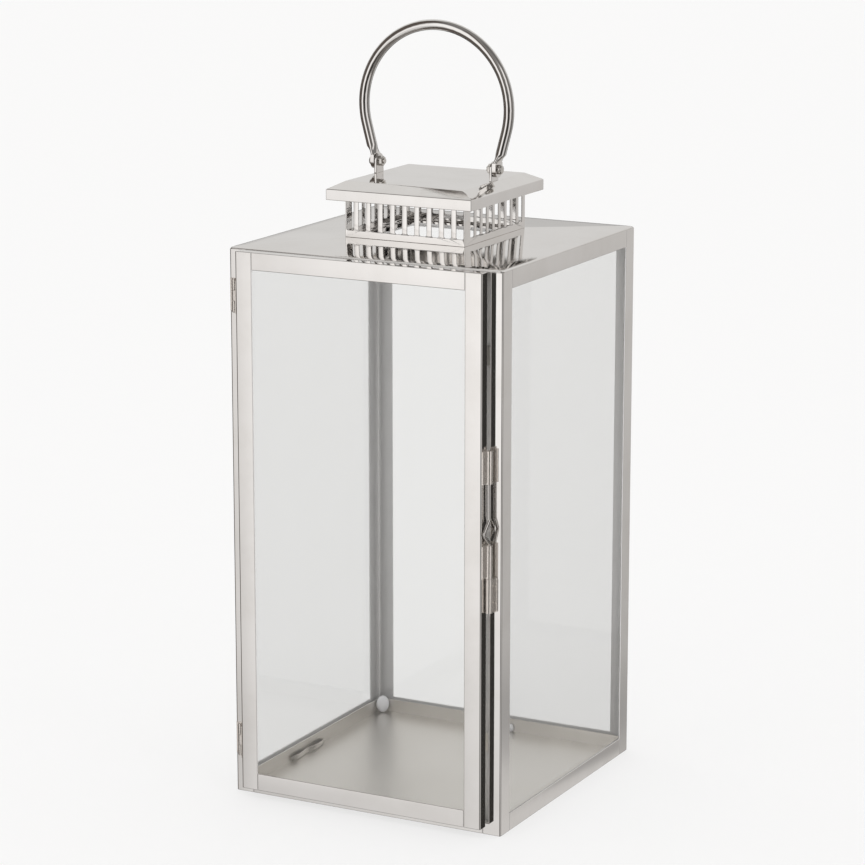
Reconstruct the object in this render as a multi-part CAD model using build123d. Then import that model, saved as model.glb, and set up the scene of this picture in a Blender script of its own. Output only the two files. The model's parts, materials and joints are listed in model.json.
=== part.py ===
from build123d import *
import math
import os

# Square candle lantern, in millimetres. +Z up, the door faces -Y.
# The origin is the centre of the flat underside that the lantern stands on.

# Body
BODY = 230.0
HEIGHT = 430.0
SHEET = 1.0
EASE = 0.1
HALF = BODY / 2
INNER = HALF - SHEET
POST_FLANGE = 15.0
POST_EDGE_R = 1.2
RAIL_TALL = 13.5
RAIL_LIP = 10.0
PLATE_THICK = 1.2
PLATE_CORNER_R = 2.5
PLATE_ROLL = ((115.0, 428.95), (114.8, 429.4), (114.3, 429.75), (113.5, 429.95), (112.5, 430.05), (108.5, 430.4))
PLATE_SEAT_HALF = 106.0
FRAME_TOP = HEIGHT - PLATE_THICK
RAIL_HALF_LEN = HALF - POST_FLANGE

# Floor tray and panes
GLASS_THICK = 2.0
GLASS_GAP = 0.15
TRAY_WALL_HALF = INNER - GLASS_GAP - GLASS_THICK - GLASS_GAP
TRAY_TALL = 11.8
TRAY_CORNER_R = 2.0
PANE_SLACK = 0.8
PANE_HALF_WIDE = TRAY_WALL_HALF - PANE_SLACK / 2
PANE_TOP = FRAME_TOP - SHEET - PANE_SLACK

# Small retainers inside
TAB_WIDE = 14.0
TAB_THICK = 0.6
TAB_DROP = 8.0
TAB_SPACING = 110.0
CLIP_Y = (-41.0, -13.0, 15.0)
CLIP_BOW = 3.0
CLIP_TALL = 5.0
CLIP_THICK = 0.6
CORNER_DOT_R = 5.5
CORNER_DOT_THICK = 4.0
CORNER_DOT_INSET = 5.8
CORNER_DOT_SUNK = 0.5
BACK_DOT_R = 3.2
BACK_DOT_THICK = 2.5
BACK_DOT_X = 12.4

# Chimney and cap
CHIMNEY_HALF = 51.0
CHIMNEY_FOOT = HEIGHT + 3.0
CHIMNEY_SHEET = 0.8
CHIMNEY_LIP = 4.0
VENT_HALF = 34.0
SLOT_LOW = CHIMNEY_FOOT + 5.4
SLOT_HIGH = CHIMNEY_FOOT + 35.0
SLOT_WIDE = 6.1
SLOT_CORNER_R = 1.4
FRONT_SLOTS = 10
FRONT_SLOT_PITCH = 10.4
SIDE_SLOTS = 9
SIDE_SLOT_PITCH = 10.15
SIDE_SLOT_SHIFT = 2.2
CAP_RIM_HALF = 61.7
CAP_RIM_LOW = HEIGHT + 32.0
CAP_RIM_HIGH = HEIGHT + 40.2
CAP_FLAT_HALF = 50.5
CAP_FLAT_Z = HEIGHT + 46.0
CAP_SHEET = 1.0
CAP_HIP_DROP = 0.5

# Handle, its brackets and pivots
PIVOT_Z = CAP_FLAT_Z + 9.0
BRACKET_HALF_WIDE = 6.0
BRACKET_THICK = 2.0
ROD_R = 4.0
BAIL_R = 62.0
BAIL_Z = 529.6
BAIL_WRAP_DEG = 15.0
LEG_END_Z = 497.0
TAB_END_THICK = 3.0
TAB_END_TOP = 490.0
TAB_END_ROUND = 0.45
PIVOT_SIDE_GAP = 0.3
BOLT_R = 2.0
RUNNING_GAP = 0.05
BOLT_HEAD_R = 3.7
BOLT_HEAD_THICK = 2.6
BOLT_CROWN_R = 1.5
NUT_FLATS = 7.0
NUT_THICK = 3.2
BOLT_TAIL = 1.2

# Door
DOOR_X = (-103.4, 103.9)
DOOR_Z = (7.0, 429.3)
DOOR_GAP = 3.0
DOOR_DEEP = 8.6
DOOR_BACK = -HALF - DOOR_GAP
DOOR_FRONT = DOOR_BACK - DOOR_DEEP
STILE_WIDE = 14.0
DOOR_RAIL_TALL = 13.4
DOOR_PANE_SIDE_GAP = 0.5
DOOR_PANE_LOW_GAP = 0.3
DOOR_TAB_ZS = (70.0, 217.0, 365.0)

# Hinges
LEAF_THICK = 0.8
HINGE_TALL = 25.0
HINGE_ZS = {"lower": 43.5, "upper": 394.0}
HINGE_XY = (-109.0, -118.0)
HINGE_R = 2.4
HINGE_PIN_R = 1.2
KNUCKLE_GAP = 0.25
HINGE_HEAD_R = 1.9
HINGE_HEAD_THICK = 0.7
LEAF_SET_BACK = 0.6
BARREL_ROOT = 0.4
FOLD_THICK = 1.0
HINGE_LEAF_BEHIND = 1.8

# Latch
LATCH_XY = (106.9, -119.6)
LATCH_R = 2.5
WIRE_R = 1.3
LATCH_LEAF_BEHIND = 2.0
KNUCKLE_UPPER_Z = (272.6, 297.6)
KNUCKLE_LOWER_Z = (201.2, 226.2)
KEEPER_Z = (174.6, 200.9)
KEEPER_LEAF_X = (105.9, 111.8)
KEEPER_LEAF_R = 1.6
KEEPER_NECK_X = (107.3, 109.3)
WIRE_Z = (176.0, 296.0)
WIRE_END_R = 0.6
GRIP_Z = (227.6, 235.3, 245.5)
GRIP_TIP = (-1.2, -7.0)
GRIP_BEND_R = 2.2


def block(x, y, z):
    """Box from three (low, high) pairs."""
    size = Box(x[1] - x[0], y[1] - y[0], z[1] - z[0])
    return Pos((x[0] + x[1]) / 2, (y[0] + y[1]) / 2, (z[0] + z[1]) / 2) * size


def upright(radius, xy, z):
    """Vertical round bar at xy between two heights."""
    return Pos(xy[0], xy[1], (z[0] + z[1]) / 2) * Cylinder(radius, z[1] - z[0])


def along_x(radius, x, y, z):
    """Round bar along X between two x values."""
    return Pos((x[0] + x[1]) / 2, y, z) * Rot(0, 90, 0) * Cylinder(radius, x[1] - x[0])


def quarter_turns(part, turns):
    """Copy turned about Z: 0 right, 1 back, 2 left, 3 front."""
    return Rot(0, 0, 90 * turns) * part


def save(part, node):
    export_step(part, "parts/" + node + ".step")


# Frame

def corner_post():
    """Folded angle at the back right corner."""
    side = block((INNER, HALF), (RAIL_HALF_LEN, HALF), (0, FRAME_TOP))
    back = block((RAIL_HALF_LEN, HALF), (INNER, HALF), (0, FRAME_TOP))
    post = side + back
    outer = post.edges().filter_by(Axis.Z).sort_by(lambda e: e.center().X + e.center().Y)[-1]
    return fillet(outer, POST_EDGE_R)


def bottom_rail():
    """Flat bar under the right hand pane."""
    return block((INNER, HALF), (-RAIL_HALF_LEN, RAIL_HALF_LEN), (0, RAIL_TALL))


def top_rail():
    """Angle over the right hand pane, with a lip under the top plate."""
    wall = block((INNER, HALF), (-RAIL_HALF_LEN, RAIL_HALF_LEN), (FRAME_TOP - RAIL_TALL, FRAME_TOP))
    lip = block((INNER - RAIL_LIP, INNER), (-RAIL_HALF_LEN, RAIL_HALF_LEN), (FRAME_TOP - SHEET, FRAME_TOP))
    return wall + lip


def stepped_block(levels, corner_r):
    """Solid through square outlines given as (half width, height) from the bottom up."""
    outlines = [Pos(0, 0, z) * RectangleRounded(2 * half, 2 * half, corner_r) for half, z in levels]
    solid = None
    for lower, upper in zip(outlines, outlines[1:]):
        step = loft([lower, upper], ruled=True)
        solid = step if solid is None else solid + step
    return solid


def top_plate():
    """Sheet that rises from a rolled border to the chimney's foot, hollow underneath."""
    outside = stepped_block(((HALF, FRAME_TOP), *PLATE_ROLL, (CHIMNEY_HALF, CHIMNEY_FOOT)), PLATE_CORNER_R)
    hollow = ((PLATE_SEAT_HALF, FRAME_TOP), (CHIMNEY_HALF, CHIMNEY_FOOT - PLATE_THICK))
    hole = Pos(0, 0, FRAME_TOP) * Box(2 * VENT_HALF, 2 * VENT_HALF, RAIL_TALL)
    return outside - stepped_block(hollow, PLATE_CORNER_R) - hole


def floor_tray():
    """Flat floor that reaches under the panes, with a low upturned wall inside them."""
    reach = 2 * (INNER - EASE)
    floor = extrude(Rectangle(reach, reach), SHEET)
    outer = RectangleRounded(2 * TRAY_WALL_HALF, 2 * TRAY_WALL_HALF, TRAY_CORNER_R + SHEET)
    inner = RectangleRounded(2 * (TRAY_WALL_HALF - SHEET), 2 * (TRAY_WALL_HALF - SHEET), TRAY_CORNER_R)
    wall = extrude(outer - inner, TRAY_TALL)
    return floor + wall


def side_pane():
    """Pane of the right hand side, standing on the floor behind the rail."""
    outer = INNER - GLASS_GAP
    return block((outer - GLASS_THICK, outer), (-PANE_HALF_WIDE, PANE_HALF_WIDE), (SHEET, PANE_TOP))


def pane_tab(y):
    """Small angle under the right hand top rail that keeps the pane in."""
    inside = INNER - 2 * GLASS_GAP - GLASS_THICK
    top = FRAME_TOP - SHEET
    span = (y - TAB_WIDE / 2, y + TAB_WIDE / 2)
    finger = block((inside - TAB_THICK, inside), span, (top - TAB_DROP, top))
    foot = block((INNER - RAIL_LIP, inside), span, (top - TAB_THICK, top))
    return finger + foot


def glass_clips():
    pair = [pane_tab(-TAB_SPACING / 2), pane_tab(TAB_SPACING / 2)]
    return Compound([quarter_turns(tab, turns) for turns in range(3) for tab in pair])


def tray_clip():
    """Thin strip on edge along the left wall, bowed inward twice."""
    wall_x = -(TRAY_WALL_HALF - SHEET) + CLIP_THICK
    bows = Sketch()
    for near, far in zip(CLIP_Y, CLIP_Y[1:]):
        bow = ThreePointArc((wall_x, near), (wall_x + CLIP_BOW, (near + far) / 2), (wall_x, far))
        bows += trace(bow, CLIP_THICK)
    return Pos(0, 0, SHEET) * extrude(bows, CLIP_TALL)


def corner_bumper():
    """Soft round dot set across the back left corner."""
    place = TRAY_WALL_HALF - SHEET - CORNER_DOT_INSET
    lift = SHEET + CORNER_DOT_R - CORNER_DOT_SUNK
    dot = Rot(0, 0, 45) * Rot(90, 0, 0) * Cylinder(CORNER_DOT_R, CORNER_DOT_THICK)
    return (Pos(-place, place, lift) * dot) & block((-HALF, 0), (0, HALF), (SHEET, TRAY_TALL))


def back_bumper():
    """Small soft dot low on the back wall."""
    y = TRAY_WALL_HALF - SHEET - BACK_DOT_THICK / 2
    return Pos(BACK_DOT_X, y, SHEET + BACK_DOT_R) * Rot(90, 0, 0) * Cylinder(BACK_DOT_R, BACK_DOT_THICK)


# Chimney and cap

def slot_row(count, pitch):
    """Row of upright slots cut right through both walls that face Y."""
    tall = SLOT_HIGH - SLOT_LOW
    row = Sketch() + [
        place * RectangleRounded(SLOT_WIDE, tall, SLOT_CORNER_R)
        for place in GridLocations(pitch, 0, count, 1)
    ]
    upright_row = Pos(0, 0, (SLOT_LOW + SLOT_HIGH) / 2) * Rot(90, 0, 0) * row
    return extrude(upright_row, CHIMNEY_HALF + 1, both=True)


def square_ring(outer_half, inner_half, low, high):
    ring = Rectangle(2 * outer_half, 2 * outer_half) - Rectangle(2 * inner_half, 2 * inner_half)
    return Pos(0, 0, low) * extrude(ring, high - low)


def chimney():
    """Square slotted tube with a lip turned in on the top plate."""
    inner = CHIMNEY_HALF - CHIMNEY_SHEET
    tube = square_ring(CHIMNEY_HALF, inner, CHIMNEY_FOOT, CAP_FLAT_Z - CAP_SHEET)
    lip = square_ring(CHIMNEY_HALF, inner - CHIMNEY_LIP, CHIMNEY_FOOT, CHIMNEY_FOOT + CHIMNEY_SHEET)
    front_back = slot_row(FRONT_SLOTS, FRONT_SLOT_PITCH)
    left_right = Pos(0, SIDE_SLOT_SHIFT, 0) * Rot(0, 0, 90) * slot_row(SIDE_SLOTS, SIDE_SLOT_PITCH)
    return tube + lip - front_back - left_right


def hipped_block(low, rim, flat):
    """Square block with four hips; rim and flat are (half width, height) pairs."""
    rim_half, rim_z = rim
    flat_half, flat_z = flat
    skirt = Pos(0, 0, low) * extrude(Rectangle(2 * rim_half, 2 * rim_half), rim_z - low)
    edges = [
        Pos(0, 0, rim_z) * Rectangle(2 * rim_half, 2 * rim_half),
        Pos(0, 0, flat_z) * Rectangle(2 * flat_half, 2 * flat_half),
    ]
    return skirt + loft(edges, ruled=True)


def cap():
    """Sheet lid whose flat top lies on the chimney."""
    outside = hipped_block(CAP_RIM_LOW, (CAP_RIM_HALF, CAP_RIM_HIGH), (CAP_FLAT_HALF, CAP_FLAT_Z))
    inner_rim = (CAP_RIM_HALF - CAP_SHEET, CAP_RIM_HIGH - CAP_HIP_DROP)
    inside = hipped_block(CAP_RIM_LOW - 1, inner_rim, (CHIMNEY_HALF, CAP_FLAT_Z - CAP_SHEET))
    return outside - inside


# Handle

def pivot_tab(x, low, high):
    """Upright tab in the YZ plane, round about the pivot at its high or low end."""
    plate = block(x, (-BRACKET_HALF_WIDE, BRACKET_HALF_WIDE), (low, high))
    return plate + along_x(BRACKET_HALF_WIDE, x, 0, PIVOT_Z)


def handle_bracket():
    """Right hand bracket, at the edge of the cap's flat top."""
    x = (CAP_FLAT_HALF - BRACKET_THICK, CAP_FLAT_HALF)
    tab = pivot_tab(x, CAP_FLAT_Z, PIVOT_Z)
    return tab - along_x(BOLT_R + RUNNING_GAP, (x[0] - 1, x[1] + 1), 0, PIVOT_Z)


def handle_leg():
    """Right hand leg: flattened drilled tab, swelling into the round rod."""
    inside = CAP_FLAT_HALF + PIVOT_SIDE_GAP
    x = (inside, inside + TAB_END_THICK)
    tab = pivot_tab(x, PIVOT_Z, TAB_END_TOP)
    slant = math.radians(BAIL_WRAP_DEG)
    leave = (BAIL_R * math.cos(slant), BAIL_Z - BAIL_R * math.sin(slant))
    run = (leave[1] - LEG_END_Z) / math.cos(slant)
    foot = (leave[0] - run * math.sin(slant), LEG_END_Z)
    round_end = Plane(origin=(foot[0], 0, foot[1]), z_dir=(math.sin(slant), 0, math.cos(slant)))
    flat_end = Plane(origin=((x[0] + x[1]) / 2, 0, TAB_END_TOP), x_dir=(1, 0, 0), z_dir=(0, 0, 1))
    flat = flat_end * RectangleRounded(TAB_END_THICK, 2 * BRACKET_HALF_WIDE, TAB_END_THICK * TAB_END_ROUND)
    swell = loft([flat, round_end * Circle(ROD_R)])
    leg = extrude(round_end * Circle(ROD_R), run)
    hole = along_x(BOLT_R + RUNNING_GAP, (x[0] - 1, x[1] + 1), 0, PIVOT_Z)
    return tab + swell + leg - hole


def handle():
    """Rod bent to most of a circle, its legs leaning in to the pivots."""
    start = Plane.XZ * Pos(0, BAIL_Z) * CenterArc((0, 0), BAIL_R, -BAIL_WRAP_DEG, 180 + 2 * BAIL_WRAP_DEG)
    section = Plane(origin=start @ 0, z_dir=start % 0) * Circle(ROD_R)
    bow = sweep(section, path=start)
    leg = handle_leg()
    return bow + leg + mirror(leg, about=Plane.YZ)


def pivot_bolt():
    """Right hand bolt: head outside the handle's tab, tail inside the nut."""
    head_x = CAP_FLAT_HALF + PIVOT_SIDE_GAP + TAB_END_THICK + PIVOT_SIDE_GAP
    tail_x = CAP_FLAT_HALF - BRACKET_THICK - NUT_THICK - BOLT_TAIL
    head = along_x(BOLT_HEAD_R, (head_x, head_x + BOLT_HEAD_THICK), 0, PIVOT_Z)
    crown = head.edges().sort_by(Axis.X)[-1]
    head = fillet(crown, BOLT_CROWN_R)
    return head + along_x(BOLT_R, (tail_x, head_x), 0, PIVOT_Z)


def pivot_nut():
    """Right hand nut, against the bracket's inner face."""
    x = (CAP_FLAT_HALF - BRACKET_THICK - NUT_THICK, CAP_FLAT_HALF - BRACKET_THICK)
    hexagon = RegularPolygon(NUT_FLATS / 2, 6, major_radius=False) - Circle(BOLT_R + RUNNING_GAP)
    return Pos(x[0], 0, PIVOT_Z) * Rot(0, 90, 0) * extrude(hexagon, NUT_THICK)


def both_sides(part):
    return Compound([part, mirror(part, about=Plane.YZ)])


# Door

def door_stile():
    """Folded angle up the door's left side."""
    front = block((DOOR_X[0], DOOR_X[0] + STILE_WIDE), (DOOR_FRONT, DOOR_FRONT + SHEET), DOOR_Z)
    side = block((DOOR_X[0], DOOR_X[0] + SHEET), (DOOR_FRONT, DOOR_BACK), DOOR_Z)
    stile = front + side
    outer = stile.edges().filter_by(Axis.Z).sort_by(lambda e: e.center().X + e.center().Y)[0]
    return fillet(outer, POST_EDGE_R)


def door_rail():
    """Folded angle along the door's top, its return reaching over both stiles."""
    face_x = (DOOR_X[0] + STILE_WIDE, DOOR_X[1] - STILE_WIDE)
    face_z = (DOOR_Z[1] - DOOR_RAIL_TALL, DOOR_Z[1])
    front = block(face_x, (DOOR_FRONT, DOOR_FRONT + SHEET), face_z)
    reach_x = (DOOR_X[0] + SHEET, DOOR_X[1] - SHEET)
    back = block(reach_x, (DOOR_FRONT + SHEET, DOOR_BACK), (DOOR_Z[1] - SHEET, DOOR_Z[1]))
    return front + back


def door_middle(axis):
    """Middle of the door across X (0) or Z (2)."""
    ends = DOOR_X if axis == 0 else DOOR_Z
    return (ends[0] + ends[1]) / 2


def door_pane():
    front = DOOR_FRONT + SHEET + EASE
    x = (DOOR_X[0] + SHEET + DOOR_PANE_SIDE_GAP, DOOR_X[1] - SHEET - DOOR_PANE_SIDE_GAP)
    z = (DOOR_Z[0] + SHEET + DOOR_PANE_LOW_GAP, DOOR_Z[1] - SHEET - PANE_SLACK)
    return block(x, (front, front + GLASS_THICK), z)


def door_tab(z):
    """Small angle inside the left stile that keeps the door's pane in."""
    face = DOOR_FRONT + SHEET + GLASS_THICK + 2 * EASE
    side = DOOR_X[0] + SHEET
    span = (z - TAB_WIDE / 2, z + TAB_WIDE / 2)
    finger = block((side, side + TAB_DROP), (face, face + TAB_THICK), span)
    foot = block((side, side + TAB_THICK), (face, DOOR_BACK - TAB_THICK), span)
    return finger + foot


def door_glass_clips():
    left = [door_tab(z) for z in DOOR_TAB_ZS]
    across = Plane.YZ.offset(door_middle(0))
    return Compound(left + [mirror(tab, about=across) for tab in left])


# Hinges: two knuckles belong to the frame, the middle one to the door

def hinge_levels(z):
    """Heights of the lower, middle and upper knuckles of the hinge centred at z."""
    low = z - HINGE_TALL / 2
    third = HINGE_TALL / 3
    trim = KNUCKLE_GAP / 2
    return [
        (low, low + third - trim),
        (low + third + trim, low + 2 * third - trim),
        (low + 2 * third + trim, low + HINGE_TALL),
    ]


def bored(part, xy, radius, z):
    return part - upright(radius + RUNNING_GAP, xy, (z[0] - 1, z[1] + 1))


def hinge_frame_leaf(z):
    """Leaf flat on the frame's front face, with the two outer knuckles."""
    axis_x = HINGE_XY[0]
    levels = hinge_levels(z)
    tall = (levels[0][0], levels[2][1])
    root_x = axis_x - HINGE_R - BARREL_ROOT
    leaf = block((-HALF + LEAF_SET_BACK, root_x), (-HALF - LEAF_THICK, -HALF), tall)
    for level in (levels[0], levels[2]):
        leaf += block((root_x, axis_x), (-HALF - LEAF_THICK - BARREL_ROOT, -HALF), level)
        leaf += upright(HINGE_R, HINGE_XY, level)
    return bored(leaf, HINGE_XY, HINGE_PIN_R, tall)


def hinge_door_leaf(z):
    """Leaf flat on the door's left return, with the middle knuckle."""
    x, y = HINGE_XY
    levels = hinge_levels(z)
    plate_x = (DOOR_X[0] - LEAF_THICK, DOOR_X[0])
    plate_y = (DOOR_FRONT + LEAF_SET_BACK, y + HINGE_LEAF_BEHIND)
    plate = block(plate_x, plate_y, (levels[0][0], levels[2][1]))
    fold = block((x, plate_x[1]), (y - HINGE_R, y - HINGE_R + FOLD_THICK), levels[1])
    leaf = plate + fold + upright(HINGE_R, HINGE_XY, levels[1])
    return bored(leaf, HINGE_XY, HINGE_PIN_R, levels[1])


def hinge_pin(z):
    """Pin with a flat head at each end of the hinge."""
    low = z - HINGE_TALL / 2
    high = z + HINGE_TALL / 2
    pin = upright(HINGE_PIN_R, HINGE_XY, (low, high))
    pin += upright(HINGE_HEAD_R, HINGE_XY, (low - HINGE_HEAD_THICK, low))
    return pin + upright(HINGE_HEAD_R, HINGE_XY, (high, high + HINGE_HEAD_THICK))


# Latch: two knuckles on the door, a keeper on the frame and a sliding wire

def latch_knuckle(z):
    """Knuckle with a leaf flat on the door's right return."""
    x, y = LATCH_XY
    plate_y = (DOOR_FRONT + LEAF_SET_BACK, y + LATCH_LEAF_BEHIND)
    plate = block((DOOR_X[1], DOOR_X[1] + LEAF_THICK), plate_y, z)
    fold = block((DOOR_X[1], x), (y - LATCH_R, y - LATCH_R + FOLD_THICK), z)
    return bored(plate + fold + upright(LATCH_R, LATCH_XY, z), LATCH_XY, WIRE_R, z)


def latch_keeper():
    """Knuckle with a round-cornered leaf flat on the frame's front face."""
    leaf = block(KEEPER_LEAF_X, (-HALF - LEAF_THICK, -HALF), KEEPER_Z)
    ends = leaf.edges().filter_by(Axis.Y).group_by(Axis.X)[-1]
    leaf = fillet(ends, KEEPER_LEAF_R)
    neck = block(KEEPER_NECK_X, (LATCH_XY[1], -HALF), KEEPER_Z)
    return bored(leaf + neck + upright(LATCH_R, LATCH_XY, KEEPER_Z), LATCH_XY, WIRE_R, KEEPER_Z)


def latch_pin():
    """Round wire, bent out once to make a finger grip."""
    x, y = LATCH_XY
    points = [
        (x, y, WIRE_Z[0]),
        (x, y, GRIP_Z[0]),
        (x + GRIP_TIP[0], y + GRIP_TIP[1], GRIP_Z[1]),
        (x, y, GRIP_Z[2]),
        (x, y, WIRE_Z[1]),
    ]
    route = FilletPolyline(*points, radius=GRIP_BEND_R)
    wire = sweep(Plane(origin=points[0], z_dir=(0, 0, 1)) * Circle(WIRE_R), path=route)
    ends = wire.edges().filter_by(GeomType.CIRCLE).sort_by(Axis.Z)
    return fillet([ends[0], ends[-1]], WIRE_END_R)


os.makedirs("parts", exist_ok=True)

post = corner_post()
for turns, corner in enumerate(("back_right", "back_left", "front_left", "front_right")):
    save(quarter_turns(post, turns), "post_" + corner)

for turns, side in enumerate(("right", "back", "left", "front")):
    save(quarter_turns(bottom_rail(), turns), "bottom_rail_" + side)
    save(quarter_turns(top_rail(), turns), "top_rail_" + side)
    if side != "front":
        save(quarter_turns(side_pane(), turns), "glass_" + side)

save(top_plate(), "top_plate")
save(floor_tray(), "floor_tray")
save(glass_clips(), "glass_clips")
save(tray_clip(), "tray_clip")
save(corner_bumper(), "corner_bumper")
save(back_bumper(), "back_bumper")
save(chimney(), "chimney")
save(cap(), "cap")

save(handle(), "handle")
save(handle_bracket(), "handle_bracket_right")
save(mirror(handle_bracket(), about=Plane.YZ), "handle_bracket_left")
save(both_sides(pivot_bolt()), "pivot_bolts")
save(both_sides(pivot_nut()), "pivot_nuts")

save(door_stile(), "door_stile_left")
save(mirror(door_stile(), about=Plane.YZ.offset(door_middle(0))), "door_stile_right")
save(door_rail(), "door_rail_top")
save(mirror(door_rail(), about=Plane.XY.offset(door_middle(2))), "door_rail_bottom")
save(door_pane(), "door_glass")
save(door_glass_clips(), "door_glass_clips")

for level, z in HINGE_ZS.items():
    save(hinge_frame_leaf(z), level + "_hinge_frame_leaf")
    save(hinge_door_leaf(z), level + "_hinge_door_leaf")
    save(hinge_pin(z), level + "_hinge_pin")

save(latch_knuckle(KNUCKLE_UPPER_Z), "latch_knuckle_upper")
save(latch_knuckle(KNUCKLE_LOWER_Z), "latch_knuckle_lower")
save(latch_keeper(), "latch_keeper")
save(latch_pin(), "latch_pin")
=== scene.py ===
import json
import math

import bmesh
import bpy
from mathutils import Matrix, Vector


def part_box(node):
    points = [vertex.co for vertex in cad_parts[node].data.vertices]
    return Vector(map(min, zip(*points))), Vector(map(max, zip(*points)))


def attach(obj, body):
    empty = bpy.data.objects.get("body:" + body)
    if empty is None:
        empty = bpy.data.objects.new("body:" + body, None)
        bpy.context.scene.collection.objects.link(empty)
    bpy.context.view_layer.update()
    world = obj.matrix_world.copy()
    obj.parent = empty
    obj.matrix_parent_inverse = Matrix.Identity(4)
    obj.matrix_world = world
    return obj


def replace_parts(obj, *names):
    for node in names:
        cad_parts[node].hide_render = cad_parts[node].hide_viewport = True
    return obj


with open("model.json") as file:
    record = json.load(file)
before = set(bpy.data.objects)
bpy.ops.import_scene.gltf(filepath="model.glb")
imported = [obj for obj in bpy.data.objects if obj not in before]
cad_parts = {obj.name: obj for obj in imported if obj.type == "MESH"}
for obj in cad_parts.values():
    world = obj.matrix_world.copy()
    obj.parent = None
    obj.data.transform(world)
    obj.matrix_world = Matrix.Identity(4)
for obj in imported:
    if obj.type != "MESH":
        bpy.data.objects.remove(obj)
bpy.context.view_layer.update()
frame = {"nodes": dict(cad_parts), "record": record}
NODES = frame["nodes"]
MM = 0.001

# The camera: where it looks from, and how long its lens is.
CAMERA_AZIMUTH = 27.7
CAMERA_ELEVATION = 13.0
CAMERA_DISTANCE = 2.479
CAMERA_AIM = (-0.001, -0.0036, 0.276)
CAMERA_LENS = 132.8
CAMERA_REACH = 50

# The studio: light from the room, and a wide pale floor that glows a little.
ROOM_LIGHT = 1.0
FLOOR_RADIUS = 9.0
FLOOR_COLOUR = (0.25, 0.249, 0.248)
FLOOR_GLOW = (0.69, 0.688, 0.686)
FLOOR_MOTTLE = 0.98

# Soft lamps: name, bearing, height, distance, width and height of the lamp in metres, and power in watts.
LAMPS = (
    ("key_light", -52, 1.6, 2.2, (1.2, 1.6), 3),
    ("fill_light", 40, 1.4, 2.4, (1.0, 1.4), 2),
)
LAMP_AIM_HEIGHT = 0.25

# What polished metal sees. Each side of the studio has a bearing in degrees from the camera's side (positive
# to its right), half a width, a softness, a tint, and pairs of elevation in degrees and brightness.
STUDIO_DARK = (0.10, 0.085, 0.075)
STUDIO_SIDES = {
    "back_wall": (
        180, 46, 8, (1.0, 0.985, 0.965),
        ((-60, 0.06), (-5, 0.06), (2, 0.40), (7, 0.68), (14, 0.68), (54, 0.72), (66, 0.30)),
    ),
    "right_wall": (
        126, 14, 5, (1.0, 0.97, 0.945),
        ((-60, 0.50), (-19.9, 0.61), (-19.2, 0.57), (-18.6, 0.41), (-18.1, 0.35), (-17.6, 0.37),
         (-16.9, 0.46), (-15.5, 0.48), (-14, 0.50), (-12.2, 0.53), (-10.9, 0.54), (-9.8, 0.56),
         (0, 0.60), (30, 0.60), (60, 0.30)),
    ),
    "right_dim": (
        88, 18, 6, (1.0, 0.97, 0.94),
        ((-60, 0.12), (0, 0.20), (60, 0.18)),
    ),
    "fill_box": (
        37, 17, 4, (1.0, 0.975, 0.96),
        ((-40, 0.60), (-12, 0.80), (32, 0.90), (40, 0.25), (60, 0.15)),
    ),
    "key_box": (
        -46, 14, 7, (1.0, 0.98, 0.965),
        ((-40, 0.70), (-19.2, 0.74), (-17.7, 0.79), (-16.6, 0.85), (-15.5, 0.90), (-14.3, 0.93),
         (-12, 0.98), (-10, 1.01), (32, 1.0), (40, 0.30), (60, 0.15)),
    ),
    "front_dark": (
        0, 14, 6, (1.0, 0.95, 0.90),
        ((-60, 0.03), (-6, 0.04), (6, 0.14), (24, 0.22), (60, 0.20)),
    ),
}
SKY_COLOUR = (0.22, 0.21, 0.20)
SKY_FROM = (60, 74)

# Colours.
STEEL_CLEAN = (0.90, 0.885, 0.87)
STEEL_SMUDGED = (0.85, 0.832, 0.81)
STEEL_INSIDE = (0.95, 0.935, 0.93)
SATIN_LIGHT = (0.95, 0.93, 0.895)
SATIN_DARK = (0.86, 0.835, 0.79)
HINGE_LIGHT = (0.94, 0.90, 0.86)
HINGE_TAN = (0.86, 0.80, 0.74)
FASTENER_LIGHT = (0.88, 0.86, 0.83)
FASTENER_DARK = (0.70, 0.67, 0.63)
GLASS_CLEAR = (0.964, 0.965, 0.963)
GLASS_SHINE = (0.95, 0.95, 0.95)
GLASS_INDEX = 1.45
SILICONE_LIGHT = (0.93, 0.93, 0.94)
SILICONE_DARK = (0.84, 0.84, 0.86)
SILICONE_DEPTH = 0.002

# A face counts as an inner one below this product of its normal and its place in metres.
INWARD_LIMIT = -0.012

# Pieces that are polished on their inner faces too.
ALL_ROUND_NODES = ("handle", "handle_bracket_left", "handle_bracket_right", "latch_pin", "chimney", "cap")

# Rounded edges by material slot, in millimetres, and how they are made.
EDGE_RADIUS = {
    "polished_steel": 0.45,
    "satin_steel": 0.3,
    "hinge_steel": 0.12,
    "fastener_steel": 0.3,
    "clear_glass": 0.2,
    "white_silicone": 0.6,
}
EDGE_STEPS = 2
EDGE_MIN_ANGLE = 25
WELD_REACH = 0.01
FLAT_FACE_WEIGHT = 50

# Soft dots on the tray, in millimetres: centre, the way it faces, and half its width, height and thickness.
CORNER_DOT = ((-105.5, 105.5, 8.6), (1, -1, 0.1), (5.5, 7.1, 3.0))
BACK_DOT = ((12.4, 109.2, 4.4), (0, -1, 0.1), (2.8, 3.4, 1.6))

# The bent strip on the tray, in millimetres: place along the wall, distance out from it, and lean at the top.
STRIP_FOLDS = (
    (-41, 0.2, 1.0),
    (-37, 2.6, 0.4),
    (-27, 3.4, 0.0),
    (-16, 0.6, 0.3),
    (-8, 3.8, 0.0),
    (6, 3.2, 0.9),
    (15, 0.3, 0.2),
)
STRIP_TALL = 4.2
STRIP_THICK = 0.5
STRIP_LIFT = 0.3

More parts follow.
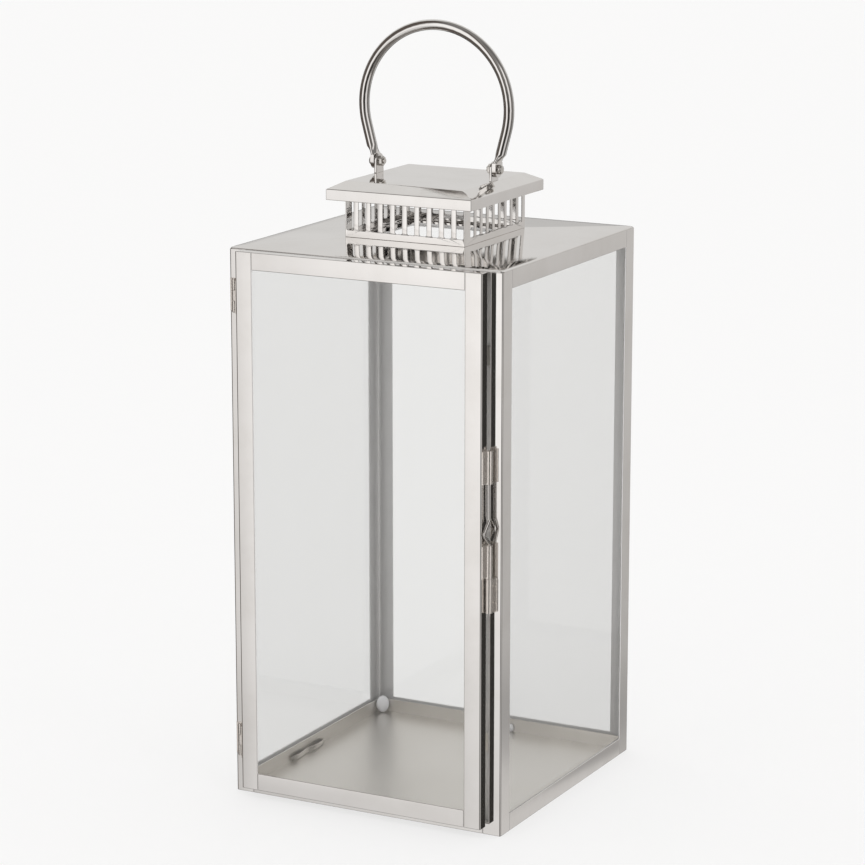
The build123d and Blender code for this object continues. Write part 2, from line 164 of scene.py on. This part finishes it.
# Weld marks on the latch keeper, in millimetres.
DIMPLE_HEIGHTS = (182, 194.6)
DIMPLE_SIZE = (0.6, 0.6, 0.3)
DIMPLE_INSET = 1.3
KEEPER_LEAF_THICK = 0.8


# Node helpers

def tree_of(owner):
    """An empty node tree on a material or a world."""
    owner.use_nodes = True
    tree = owner.node_tree
    tree.nodes.clear()
    return tree


def feed(tree, socket, value):
    """Links a socket, or sets a plain value."""
    if isinstance(value, bpy.types.NodeSocket):
        tree.links.new(value, socket)
    else:
        socket.default_value = value


def maths(tree, operation, *values):
    node = tree.nodes.new("ShaderNodeMath")
    node.operation = operation
    for socket, value in zip(node.inputs, values):
        feed(tree, socket, value)
    return node.outputs[0]


def vector_maths(tree, operation, first, second):
    node = tree.nodes.new("ShaderNodeVectorMath")
    node.operation = operation
    feed(tree, node.inputs[0], first)
    feed(tree, node.inputs[1], second)
    return node.outputs


def ramp(tree, value, low, high, to_low, to_high, smooth=False):
    """Takes the range low to high to the range to_low to to_high, and holds the ends."""
    node = tree.nodes.new("ShaderNodeMapRange")
    node.interpolation_type = "SMOOTHSTEP" if smooth else "LINEAR"
    for socket, number in zip(node.inputs, (value, low, high, to_low, to_high)):
        feed(tree, socket, number)
    return node.outputs[0]


def mix_colour(tree, share, first, second):
    """The first colour at share 0, the second one at 1."""
    node = tree.nodes.new("ShaderNodeMix")
    node.data_type = "RGBA"
    feed(tree, node.inputs[0], share)
    for socket, colour in ((node.inputs[6], first), (node.inputs[7], second)):
        feed(tree, socket, colour if isinstance(colour, bpy.types.NodeSocket) else (*colour, 1))
    return node.outputs[2]


def place_of(tree, scale=(1, 1, 1)):
    """Object coordinates in metres, stretched."""
    where = tree.nodes.new("ShaderNodeTexCoord")
    mapping = tree.nodes.new("ShaderNodeMapping")
    mapping.inputs["Scale"].default_value = scale
    tree.links.new(where.outputs["Object"], mapping.inputs["Vector"])
    return mapping.outputs["Vector"]


def noise(tree, where, scale, detail=3.0, rough=0.5):
    node = tree.nodes.new("ShaderNodeTexNoise")
    tree.links.new(where, node.inputs["Vector"])
    node.inputs["Scale"].default_value = scale
    node.inputs["Detail"].default_value = detail
    node.inputs["Roughness"].default_value = rough
    return node.outputs["Fac"]


def bumps(tree, *layers):
    """Chained bump nodes: (height, distance in metres)."""
    normal = None
    for height, distance in layers:
        node = tree.nodes.new("ShaderNodeBump")
        node.inputs["Strength"].default_value = 1.0
        node.inputs["Distance"].default_value = distance
        tree.links.new(height, node.inputs["Height"])
        if normal is not None:
            tree.links.new(normal, node.inputs["Normal"])
        normal = node.outputs["Normal"]
    return normal


def principled(name, **constants):
    """A material with one principled shader; constants are socket values, with _ for a space."""
    material = bpy.data.materials.new(name)
    tree = tree_of(material)
    shader = tree.nodes.new("ShaderNodeBsdfPrincipled")
    output = tree.nodes.new("ShaderNodeOutputMaterial")
    tree.links.new(shader.outputs[0], output.inputs["Surface"])
    for socket, value in constants.items():
        shader.inputs[socket.replace("_", " ")].default_value = value
    return material, tree, shader


# Materials

def inside_share(tree):
    """1 on faces that look in towards the lantern's middle, 0 on the outer ones."""
    where = tree.nodes.new("ShaderNodeTexCoord")
    outward = vector_maths(tree, "MULTIPLY", where.outputs["Object"], (1, 1, 0))[0]
    facing = vector_maths(tree, "DOT_PRODUCT", where.outputs["Normal"], outward)["Value"]
    return maths(tree, "LESS_THAN", facing, INWARD_LIMIT)


def mirror_finish(name, dull_inside):
    """Polished steel with faint smudges and drawn lines; sheets are dull on the inside."""
    material, tree, shader = principled(name, Metallic=1.0)
    smudge = noise(tree, place_of(tree), 19.0, 4.0, 0.6)
    film = ramp(tree, smudge, 0.35, 0.75, 0.0, 1.0, smooth=True)
    lines = noise(tree, place_of(tree, (30, 900, 30)), 9.0, 2.0)
    wave = noise(tree, place_of(tree), 7.0, 1.0)
    colour = mix_colour(tree, film, STEEL_CLEAN, STEEL_SMUDGED)
    film_rough = ramp(tree, film, 0, 1, 0.03, 0.075)
    line_rough = ramp(tree, lines, 0.3, 0.7, 0.0, 0.018)
    rough = maths(tree, "ADD", film_rough, line_rough)
    if dull_inside:
        inside = inside_share(tree)
        colour = mix_colour(tree, inside, colour, STEEL_INSIDE)
        rough = maths(tree, "ADD", rough, ramp(tree, inside, 0, 1, 0, 0.42))
        feed(tree, shader.inputs["Metallic"], ramp(tree, inside, 0, 1, 1, 0.06))
    feed(tree, shader.inputs["Base Color"], colour)
    feed(tree, shader.inputs["Roughness"], rough)
    feed(tree, shader.inputs["Normal"], bumps(tree, (wave, 0.0007), (lines, 0.000002)))
    return material


def polished_steel():
    """Folded sheet, polished outside and dull inside."""
    return mirror_finish("polished_steel", dull_inside=True)


def polished_all_round():
    """Rod, brackets, chimney and cap, polished on every side."""
    return mirror_finish("polished_all_round", dull_inside=False)


def satin_steel():
    """The tray: brushed steel with a cloudy film."""
    material, tree, shader = principled("satin_steel", Metallic=1.0)
    grain = noise(tree, place_of(tree, (6, 420, 6)), 8.0, 3.0, 0.6)
    cloud = noise(tree, place_of(tree), 9.0, 4.0, 0.6)
    grain_rough = ramp(tree, grain, 0.2, 0.8, 0.26, 0.40)
    cloud_rough = ramp(tree, cloud, 0.3, 0.7, 0.0, 0.06)
    feed(tree, shader.inputs["Base Color"], mix_colour(tree, cloud, SATIN_LIGHT, SATIN_DARK))
    feed(tree, shader.inputs["Roughness"], maths(tree, "ADD", grain_rough, cloud_rough))
    feed(tree, shader.inputs["Normal"], bumps(tree, (cloud, 0.0004), (grain, 0.00001)))
    return material


def hinge_steel():
    """Bright rolled steel, slightly tanned."""
    material, tree, shader = principled("hinge_steel", Metallic=0.85)
    stain = noise(tree, place_of(tree), 90.0, 3.0, 0.5)
    drawn = noise(tree, place_of(tree, (900, 900, 30)), 3.0, 2.0)
    stain_rough = ramp(tree, stain, 0.3, 0.7, 0.14, 0.20)
    drawn_rough = ramp(tree, drawn, 0.3, 0.7, 0, 0.04)
    feed(tree, shader.inputs["Base Color"], mix_colour(tree, stain, HINGE_LIGHT, HINGE_TAN))
    feed(tree, shader.inputs["Roughness"], maths(tree, "ADD", stain_rough, drawn_rough))
    return material


def fastener_steel():
    """Plain steel of the bolts, nuts and bent strip, finely stained."""
    material, tree, shader = principled("fastener_steel", Metallic=1.0)
    stain = noise(tree, place_of(tree), 380.0, 3.0, 0.6)
    feed(tree, shader.inputs["Base Color"], mix_colour(tree, stain, FASTENER_LIGHT, FASTENER_DARK))
    feed(tree, shader.inputs["Roughness"], ramp(tree, stain, 0.3, 0.7, 0.16, 0.30))
    feed(tree, shader.inputs["Normal"], bumps(tree, (stain, 0.00001)))
    return material


def clear_glass():
    """Thin panes: light goes straight through, with a mirror share at grazing angles."""
    material = bpy.data.materials.new("clear_glass")
    tree = tree_of(material)
    clear = tree.nodes.new("ShaderNodeBsdfTransparent")
    clear.inputs["Color"].default_value = (*GLASS_CLEAR, 1)
    shine = tree.nodes.new("ShaderNodeBsdfGlossy")
    shine.inputs["Color"].default_value = (*GLASS_SHINE, 1)
    smear = noise(tree, place_of(tree), 14.0, 4.0, 0.6)
    feed(tree, shine.inputs["Roughness"], ramp(tree, smear, 0.4, 0.8, 0.0, 0.12, smooth=True))
    leaving = tree.nodes.new("ShaderNodeNewGeometry").outputs["Backfacing"]
    edge = tree.nodes.new("ShaderNodeFresnel")
    feed(tree, edge.inputs["IOR"], ramp(tree, leaving, 0, 1, GLASS_INDEX, 1 / GLASS_INDEX))
    mix = tree.nodes.new("ShaderNodeMixShader")
    feed(tree, mix.inputs[0], edge.outputs[0])
    feed(tree, mix.inputs[1], clear.outputs[0])
    feed(tree, mix.inputs[2], shine.outputs[0])
    output = tree.nodes.new("ShaderNodeOutputMaterial")
    tree.links.new(mix.outputs[0], output.inputs["Surface"])
    return material


def white_silicone():
    """Soft, faintly grainy white dots."""
    material, tree, shader = principled("white_silicone", Subsurface_Weight=0.25)
    shader.inputs["Subsurface Radius"].default_value = (SILICONE_DEPTH,) * 3
    speck = noise(tree, place_of(tree), 420.0, 3.0, 0.6)
    feed(tree, shader.inputs["Base Color"], mix_colour(tree, speck, SILICONE_LIGHT, SILICONE_DARK))
    feed(tree, shader.inputs["Roughness"], ramp(tree, speck, 0.3, 0.7, 0.38, 0.6))
    feed(tree, shader.inputs["Normal"], bumps(tree, (speck, 0.00006)))
    return material


MAKERS = (
    polished_steel,
    polished_all_round,
    satin_steel,
    hinge_steel,
    fastener_steel,
    clear_glass,
    white_silicone,
)
MATERIALS = {make.__name__: make() for make in MAKERS}


def round_edges(piece, radius):
    """Small rounded edges, with the large faces kept flat."""
    for face in piece.data.polygons:
        face.use_smooth = True
    weld = piece.modifiers.new("weld", "WELD")
    weld.merge_threshold = WELD_REACH * MM
    edges = piece.modifiers.new("edges", "BEVEL")
    edges.width = radius
    edges.segments = EDGE_STEPS
    edges.limit_method = "ANGLE"
    edges.angle_limit = math.radians(EDGE_MIN_ANGLE)
    flats = piece.modifiers.new("flats", "WEIGHTED_NORMAL")
    flats.weight = FLAT_FACE_WEIGHT


def finish_nodes():
    """Each CAD node gets the material of its slot and rounded edges."""
    for part in frame["record"]["subparts"]:
        piece = NODES[part["node"]]
        slot = part["material_slot"]
        finish = "polished_all_round" if part["node"] in ALL_ROUND_NODES else slot
        piece.data.materials.clear()
        piece.data.materials.append(MATERIALS[finish])
        round_edges(piece, EDGE_RADIUS[slot] * MM)


# Small pieces

def piece_from(build, name, slot, body):
    """Smooth object made from a bmesh, with a slot's finish, on a body."""
    mesh = bpy.data.meshes.new(name)
    build.to_mesh(mesh)
    build.free()
    for face in mesh.polygons:
        face.use_smooth = True
    mesh.materials.append(MATERIALS[slot])
    piece = bpy.data.objects.new(name, mesh)
    bpy.context.scene.collection.objects.link(piece)
    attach(piece, body)
    return piece


def dome(name, dot, slot, body):
    """Flattened ball, in millimetres: centre, the way it faces, and half its width, height and thickness."""
    centre, facing, half_size = dot
    turn = Vector(facing).to_track_quat("Z", "Y").to_matrix().to_4x4()
    place = Matrix.Translation(Vector(centre) * MM) @ turn @ Matrix.Diagonal((*(Vector(half_size) * MM), 1))
    build = bmesh.new()
    bmesh.ops.create_uvsphere(build, u_segments=32, v_segments=16, radius=1, matrix=place)
    return piece_from(build, name, slot, body)


def soft_dots():
    """The white dot in the tray's corner and the smaller one at its back wall."""
    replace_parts(dome("corner_dot", CORNER_DOT, "white_silicone", "frame"), "corner_bumper")
    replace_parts(dome("back_dot", BACK_DOT, "white_silicone", "frame"), "back_bumper")


def bent_strip():
    """Thin strip on edge along the tray's left wall, folded and a little twisted."""
    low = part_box("tray_clip")[0]
    build = bmesh.new()
    edges = []
    for along, out, lean in STRIP_FOLDS:
        foot = Vector((low.x + out * MM, along * MM, low.z + STRIP_LIFT * MM))
        top = foot + Vector((lean, 0, STRIP_TALL)) * MM
        edges.append((build.verts.new(foot), build.verts.new(top)))
    for first, second in zip(edges, edges[1:]):
        build.faces.new((first[0], second[0], second[1], first[1]))
    strip = piece_from(build, "tray_strip", "fastener_steel", "frame")
    bend = strip.modifiers.new("bends", "SUBSURF")
    bend.levels = 2
    bend.render_levels = 2
    sheet = strip.modifiers.new("sheet", "SOLIDIFY")
    sheet.thickness = STRIP_THICK * MM
    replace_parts(strip, "tray_clip")


def keeper_dimples():
    """Two small weld marks on the latch keeper's leaf."""
    leaf_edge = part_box("latch_keeper")[1].x / MM
    leaf_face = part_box("post_front_right")[0].y / MM - KEEPER_LEAF_THICK
    for number, height in enumerate(DIMPLE_HEIGHTS, 1):
        spot = ((leaf_edge - DIMPLE_INSET, leaf_face, height), (0, -1, 0), DIMPLE_SIZE)
        dome("keeper_dimple_%d" % number, spot, "hinge_steel", "frame")


# Studio

def bearing_vector(degrees):
    """Level direction at a bearing from the camera's side, positive to the camera's right."""
    angle = math.radians(CAMERA_AZIMUTH - 90 + degrees)
    return (math.cos(angle), math.sin(angle), 0.0)


def side_share(tree, level, bearing, half_width, soft):
    """How much of a side of the studio is in the direction looked at."""
    toward = vector_maths(tree, "DOT_PRODUCT", level, bearing_vector(bearing))["Value"]
    outer = math.cos(math.radians(half_width + soft))
    inner = math.cos(math.radians(half_width - soft))
    return ramp(tree, toward, outer, inner, 0, 1, smooth=True)


def side_colour(tree, height, tint, profile):
    """A side's brightness by elevation; height is the sine of the elevation."""
    node = tree.nodes.new("ShaderNodeValToRGB")
    stops = node.color_ramp.elements
    while len(stops) < len(profile):
        stops.new(1.0)
    for stop, (elevation, brightness) in zip(stops, profile):
        stop.position = 0.5 + 0.5 * math.sin(math.radians(elevation))
        stop.color = (*(brightness * share for share in tint), 1)
    feed(tree, node.inputs[0], ramp(tree, height, -1, 1, 0, 1))
    return node.outputs[0]


def room_reflected(tree, where):
    """The dim room with light walls that polished metal reflects."""
    split = tree.nodes.new("ShaderNodeSeparateXYZ")
    tree.links.new(where, split.inputs[0])
    height = split.outputs["Z"]
    flat = vector_maths(tree, "MULTIPLY", where, (1, 1, 0))[0]
    level = tree.nodes.new("ShaderNodeVectorMath")
    level.operation = "NORMALIZE"
    tree.links.new(flat, level.inputs[0])
    colour = STUDIO_DARK
    for bearing, half_width, soft, tint, profile in STUDIO_SIDES.values():
        share = side_share(tree, level.outputs[0], bearing, half_width, soft)
        colour = mix_colour(tree, share, colour, side_colour(tree, height, tint, profile))
    sky_low, sky_high = [math.sin(math.radians(elevation)) for elevation in SKY_FROM]
    sky = ramp(tree, height, sky_low, sky_high, 0, 1, smooth=True)
    return mix_colour(tree, sky, colour, SKY_COLOUR)


def studio_world():
    """A white room for the eye and for soft light, and the dimmer one for polished metal."""
    world = bpy.data.worlds.new("studio")
    bpy.context.scene.world = world
    tree = tree_of(world)
    where = tree.nodes.new("ShaderNodeTexCoord").outputs["Generated"]
    path = tree.nodes.new("ShaderNodeLightPath")
    room = (ROOM_LIGHT,) * 3
    seen = mix_colour(tree, path.outputs["Is Glossy Ray"], room, room_reflected(tree, where))
    light = tree.nodes.new("ShaderNodeBackground")
    feed(tree, light.inputs["Color"], seen)
    output = tree.nodes.new("ShaderNodeOutputWorld")
    tree.links.new(light.outputs[0], output.inputs["Surface"])


def floor_material():
    """Pale, faintly mottled and partly glowing, so that it fades into the room."""
    material, tree, shader = principled("pale_floor", Roughness=0.9, Emission_Strength=1.0)
    mottle = noise(tree, place_of(tree), 30.0, 3.0)
    darker = tuple(FLOOR_MOTTLE * share for share in FLOOR_COLOUR)
    feed(tree, shader.inputs["Base Color"], mix_colour(tree, mottle, FLOOR_COLOUR, darker))
    shader.inputs["Emission Color"].default_value = (*FLOOR_GLOW, 1)
    return material


def floor():
    """Wide pale disc under the lantern, left out of the reflections."""
    mesh = bpy.data.meshes.new("floor")
    build = bmesh.new()
    bmesh.ops.create_circle(build, cap_ends=True, segments=96, radius=FLOOR_RADIUS)
    build.to_mesh(mesh)
    build.free()
    mesh.materials.append(floor_material())
    disc = bpy.data.objects.new("floor", mesh)
    bpy.context.scene.collection.objects.link(disc)
    disc.visible_glossy = False


def softbox(name, bearing, height, distance, size, power):
    """A lamp aimed at the lantern's middle, not itself seen or reflected."""
    data = bpy.data.lights.new(name, "AREA")
    data.shape = "RECTANGLE"
    data.size, data.size_y = size
    data.energy = power
    lamp = bpy.data.objects.new(name, data)
    bpy.context.scene.collection.objects.link(lamp)
    out = Vector(bearing_vector(bearing)) * distance
    lamp.location = (out.x, out.y, height)
    aim = Vector((0, 0, LAMP_AIM_HEIGHT)) - lamp.location
    lamp.rotation_euler = aim.to_track_quat("-Z", "Y").to_euler()
    lamp.visible_camera = False
    lamp.visible_glossy = False


def studio():
    studio_world()
    floor()
    for lamp in LAMPS:
        softbox(*lamp)
    bpy.context.scene.view_settings.view_transform = "Standard"


def camera():
    azimuth = math.radians(CAMERA_AZIMUTH)
    elevation = math.radians(CAMERA_ELEVATION)
    level = math.cos(elevation)
    back = Vector((math.sin(azimuth) * level, -math.cos(azimuth) * level, math.sin(elevation)))
    data = bpy.data.cameras.new("camera")
    data.lens = CAMERA_LENS
    data.clip_end = CAMERA_REACH
    eye = bpy.data.objects.new("camera", data)
    bpy.context.scene.collection.objects.link(eye)
    eye.location = Vector(CAMERA_AIM) + back * CAMERA_DISTANCE
    eye.rotation_euler = (-back).to_track_quat("-Z", "Y").to_euler()
    bpy.context.scene.camera = eye


finish_nodes()
soft_dots()
bent_strip()
keeper_dimples()
studio()
camera()
